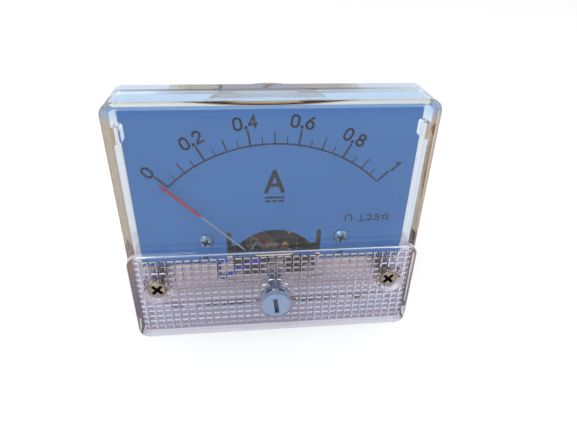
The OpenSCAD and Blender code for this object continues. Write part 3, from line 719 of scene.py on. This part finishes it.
def pen_line(mesh: bmesh.types.BMesh, points: Sequence[Point], width: float, place: Matrix) -> None:
    """Draws a flat pen line with round ends and joints.

    Args:
        mesh: Where the line goes.
        points: Its route, in the drawing's plane.
        width: The pen's width.
        place: Where the drawing's plane lies.
    """
    half = width / 2
    for x, y in points:
        dot = bmesh.ops.create_circle(mesh, cap_ends=True, segments=12, radius=half)
        bmesh.ops.transform(mesh, matrix=place @ Matrix.Translation((x, y, 0)), verts=dot["verts"])
    for (x0, y0), (x1, y1) in zip(points, points[1:]):
        length = math.hypot(x1 - x0, y1 - y0)
        if length < 1e-6:
            continue
        bar = bmesh.ops.create_grid(mesh, x_segments=1, y_segments=1, size=0.5)
        turn = Matrix.Rotation(math.atan2(y1 - y0, x1 - x0), 4, "Z")
        shift = Matrix.Translation(((x0 + x1) / 2, (y0 + y1) / 2, 0))
        size = Matrix.Diagonal((length, width, 1, 1))
        bmesh.ops.transform(mesh, matrix=place @ shift @ turn @ size, verts=bar["verts"])


@dataclass
class DialPrinting:
    """The dial's numbers, unit and small signs, as a thin film of ink."""

    shop: Workshop
    face: float = 7.2
    film: float = 0.03
    number_height: float = 2.4
    number_pen: float = 0.46
    unit_height: float = 4.8
    unit_pen: float = 0.85
    sign_pen: float = 0.5
    small_height: float = 1.5
    small_pen: float = 0.28
    star_pen: float = 0.22
    star_radii: Point = (1.0, 0.45)
    numbers: tuple[tuple[str, float, float, float], ...] = (
        ("0", -25.75, 12.5, 45.0),
        ("0.2", -16.5, 19.25, 27.0),
        ("0.4", -5.85, 22.65, 9.0),
        ("0.6", 5.5, 22.65, -9.0),
        ("0.8", 16.25, 19.25, -27.0),
        ("1", 25.5, 12.75, -45.0),
    )

    def write(
        self,
        mesh: bmesh.types.BMesh,
        text: str,
        x: float,
        z: float,
        turn: float,
        height: float,
        pen: float,
    ) -> None:
        """Draws text centred on a point of the dial.

        Args:
            mesh: Where the ink goes.
            text: The characters.
            x: The centre's place across the dial.
            z: The centre's height.
            turn: How far the text is turned, in degrees, anticlockwise.
            height: The characters' height.
            pen: The pen's width.
        """
        gap = 0.2
        widths = [GLYPH_WIDTHS.get(c, 0.64) for c in text]
        total = sum(widths) + gap * (len(text) - 1)
        base = (
            facing(self.face + self.film)
            @ Matrix.Translation((x, z, 0))
            @ Matrix.Rotation(math.radians(turn), 4, "Z")
            @ Matrix.Translation((-total * height / 2, -height / 2, 0))
        )
        left = 0.0
        for char, width in zip(text, widths):
            for stroke in glyph_strokes(char):
                route = [((left + px) * height, py * height) for px, py in stroke]
                pen_line(mesh, route, pen, base)
            left += width + gap

    def draw_numbers(self) -> bmesh.types.BMesh:
        """Draws the scale's numbers, each turned along the arc."""
        mesh = bmesh.new()
        for text, x, z, turn in self.numbers:
            self.write(mesh, text, x, z, turn, self.number_height, self.number_pen)
        return mesh

    def draw_unit(self) -> bmesh.types.BMesh:
        """Draws the unit and the direct-current sign under it."""
        mesh = bmesh.new()
        self.write(mesh, "A", 0.0, 9.7, 0.0, self.unit_height, self.unit_pen)
        plane = facing(self.face + self.film)
        pen_line(mesh, [(-1.85, 5.9), (1.85, 5.9)], self.sign_pen, plane)
        for x in (-1.45, 0.0, 1.45):
            pen_line(mesh, [(x - 0.35, 5.0), (x + 0.35, 5.0)], self.sign_pen, plane)
        return mesh

    def draw_signs(self) -> bmesh.types.BMesh:
        """Draws the small signs for the movement, the position and the class."""
        mesh = bmesh.new()
        plane = facing(self.face + self.film)
        pen = self.small_pen
        horseshoe = [(15.9, -0.75)] + arc((16.65, 0.15), (0.75, 0.75), 180, 0) + [(17.4, -0.75)]
        pen_line(mesh, horseshoe, pen, plane)
        pen_line(mesh, [(18.8, -0.75), (20.4, -0.75)], pen, plane)
        pen_line(mesh, [(19.6, -0.75), (19.6, 0.85)], pen, plane)
        self.write(mesh, "2.5", 22.3, 0.05, 0.0, self.small_height, pen)
        star = []
        for i in range(11):
            radius = self.star_radii[i % 2]
            angle = math.radians(90 + 36 * i)
            star.append((25.1 + radius * math.cos(angle), 0.05 + radius * math.sin(angle)))
        pen_line(mesh, star, self.star_pen, plane)
        return mesh

    def build(self) -> None:
        """Makes the printed pieces."""
        for name, mesh in (
            ("dial_numbers", self.draw_numbers()),
            ("dial_unit", self.draw_unit()),
            ("dial_signs", self.draw_signs()),
        ):
            self.shop.piece(name, mesh, "ink", Slot.INK)


@dataclass
class Thread:
    """A screw thread's helical ridge on a stud that lies along Y."""

    shop: Workshop
    name: str
    x: float
    z: float
    radius: float
    pitch: float
    start: float
    end: float
    finish: str
    slot: Slot
    ridge: float = 0.14
    root: float = 0.05
    steps: int = 20

    def shape(self) -> bmesh.types.BMesh:
        """Winds a three-cornered ridge round the stud and closes its ends."""
        mesh = bmesh.new()
        half = self.pitch * 0.4
        low = self.radius - self.root
        corners = ((low, -half), (self.radius + self.ridge, 0.0), (low, half))
        section = [
            mesh.verts.new((self.x + reach, self.start + half + along, self.z))
            for reach, along in corners
        ]
        edges = [mesh.edges.new((section[i], section[(i + 1) % 3])) for i in range(3)]
        turns = (self.end - self.start - 2 * half) / self.pitch
        steps = round(turns * self.steps)
        made = bmesh.ops.spin(
            mesh,
            geom=section + edges,
            cent=(self.x, 0, self.z),
            axis=(0, 1, 0),
            dvec=(0, turns * self.pitch / steps, 0),
            angle=2 * math.pi * turns,
            steps=steps,
        )
        last = [part for part in made["geom_last"] if isinstance(part, bmesh.types.BMVert)]
        bmesh.ops.contextual_create(mesh, geom=section)
        bmesh.ops.contextual_create(mesh, geom=last)
        bmesh.ops.recalc_face_normals(mesh, faces=mesh.faces)
        return mesh

    def build(self) -> None:
        """Makes the thread as one piece."""
        self.shop.piece(self.name, self.shape(), self.finish, self.slot)


@dataclass
class Studs:
    """The threads of the two cover screws and of the two terminals."""

    shop: Workshop
    cover_at: Point = (26.5, -14.4)
    cover_radius: float = 1.5
    cover_pitch: float = 0.5
    cover_reach: Point = (0.4, 11.8)
    terminal_at: Point = (12.0, 5.0)
    terminal_radius: float = 2.0
    terminal_pitch: float = 0.7
    terminal_reach: Point = (29.8, 39.7)

    def build(self) -> None:
        """Makes the four threads."""
        for side, label in ((-1, "left"), (1, "right")):
            Thread(
                self.shop,
                name=f"cover_thread_{label}",
                x=side * self.cover_at[0],
                z=self.cover_at[1],
                radius=self.cover_radius,
                pitch=self.cover_pitch,
                start=self.cover_reach[0],
                end=self.cover_reach[1],
                finish="nickel",
                slot=Slot.NICKEL,
            ).build()
            Thread(
                self.shop,
                name=f"terminal_thread_{label}",
                x=side * self.terminal_at[0],
                z=self.terminal_at[1],
                radius=self.terminal_radius,
                pitch=self.terminal_pitch,
                start=self.terminal_reach[0],
                end=self.terminal_reach[1],
                finish="brass",
                slot=Slot.BRASS,
            ).build()


@dataclass
class Studio:
    """The floor, the lamps, the sky and the camera."""

    floor_z: float = -28.0
    camera_at: tuple[float, float, float] = (-6.94, -93.85, 54.75)
    camera_axes: tuple[tuple[float, float, float], ...] = (
        (0.99449, -0.10252, 0.02177),
        (0.03569, 0.52653, 0.84939),
        (-0.09855, -0.84394, 0.52729),
    )
    lens: float = 28.889
    sky: float = 0.62
    floor_half: float = 6.0
    floor_tone: float = 0.93
    floor_glow: float = 0.36
    lamp_size: float = 0.5
    key_power: float = 1.7
    fill_power: float = 0.5

    def place_camera(self) -> None:
        """Sets up the camera."""
        data = bpy.data.cameras.new("camera")
        data.lens = self.lens
        data.sensor_width = 36.0
        data.clip_start = 0.002
        data.clip_end = 20.0
        camera = bpy.data.objects.new("camera", data)
        turn = Matrix(self.camera_axes).transposed().to_4x4()
        camera.matrix_world = Matrix.Translation([v * MM for v in self.camera_at]) @ turn
        bpy.context.scene.collection.objects.link(camera)
        bpy.context.scene.camera = camera

    def lay_floor(self) -> None:
        """Lays a plain white floor under the part."""
        mesh = bmesh.new()
        bmesh.ops.create_grid(mesh, x_segments=1, y_segments=1, size=self.floor_half)
        bmesh.ops.translate(mesh, vec=(0, 0, self.floor_z * MM), verts=mesh.verts)
        data = bpy.data.meshes.new("floor")
        mesh.to_mesh(data)
        mesh.free()
        material, graph, shader, _ = new_material("floor_white")
        path = graph.add("ShaderNodeLightPath")
        seen = graph.math(
            "MAXIMUM",
            graph.math("MAXIMUM", path.outputs["Is Camera Ray"], path.outputs["Is Glossy Ray"]),
            path.outputs["Is Transmission Ray"],
        )
        graph.feed(
            shader,
            Base_Color=(self.floor_tone, self.floor_tone, self.floor_tone, 1),
            Roughness=0.9,
            Specular_IOR_Level=0.0,
            Emission_Color=(1, 1, 1, 1),
            Emission_Strength=graph.math("MULTIPLY", seen, self.floor_glow),
        )
        data.materials.append(material)
        floor = bpy.data.objects.new("floor", data)
        bpy.context.scene.collection.objects.link(floor)

    def hang_lamp(
        self, name: str, at: tuple[float, float, float], size: float, power: float, tint: Colour
    ) -> None:
        """Hangs one soft lamp that looks at the part.

        Args:
            name: The lamp's name.
            at: Its place in metres.
            size: Its side in metres.
            power: Its power in watts.
            tint: Its colour.
        """
        data = bpy.data.lights.new(name, "AREA")
        data.shape = "SQUARE"
        data.size = size
        data.energy = power
        data.color = tint
        lamp = bpy.data.objects.new(name, data)
        lamp.matrix_world = (
            Matrix.Translation(at) @ (-Vector(at)).to_track_quat("-Z", "Y").to_matrix().to_4x4()
        )
        bpy.context.scene.collection.objects.link(lamp)

    def light(self) -> None:
        """Makes the sky and the lamps."""
        world = bpy.data.worlds.new("sky")
        bpy.context.scene.world = world
        world.use_nodes = True
        world.node_tree.nodes.clear()
        graph = Graph(world.node_tree)
        path = graph.add("ShaderNodeLightPath")
        seen = graph.math(
            "MAXIMUM",
            graph.math("MAXIMUM", path.outputs["Is Camera Ray"], path.outputs["Is Glossy Ray"]),
            path.outputs["Is Transmission Ray"],
        )
        strength = graph.math("ADD", graph.math("MULTIPLY", seen, 1.0 - self.sky), self.sky)
        back = graph.add("ShaderNodeBackground")
        graph.feed(back, Color=(1, 1, 1, 1), Strength=strength)
        graph.feed(graph.add("ShaderNodeOutputWorld"), Surface=back.outputs[0])
        size = self.lamp_size
        self.hang_lamp("key", (-0.35, -0.45, 0.6), size, self.key_power, (1.0, 0.99, 0.97))
        self.hang_lamp("fill", (0.5, -0.3, 0.3), size, self.fill_power, (0.97, 0.98, 1.0))

    def build(self) -> None:
        """Sets up the whole stage."""
        self.place_camera()
        self.lay_floor()
        self.light()
        bpy.context.scene.view_settings.view_transform = "Standard"


def dress_nodes(shop: Workshop) -> None:
    """Gives every solid of the frame its finish.

    Args:
        shop: Where the materials come from.
    """
    for name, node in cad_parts.items():
        material = shop.material(NODE_FINISHES.get(name, "nickel"))
        for slot in node.material_slots:
            slot.material = material
        if not node.material_slots:
            node.data.materials.append(material)
        LOG.info("%s: %s", name, material.name)


def main() -> None:
    """Builds the stage and the pieces in order."""
    logging.basicConfig(level=logging.INFO, format="%(message)s")
    Studio().build()
    shop = Workshop(SharedEffects.make())
    dress_nodes(shop)
    DialPrinting(shop).build()
    Studs(shop).build()
    LOG.info("%d new pieces", len(shop.pieces))


if __name__ == "__main__":
    main()
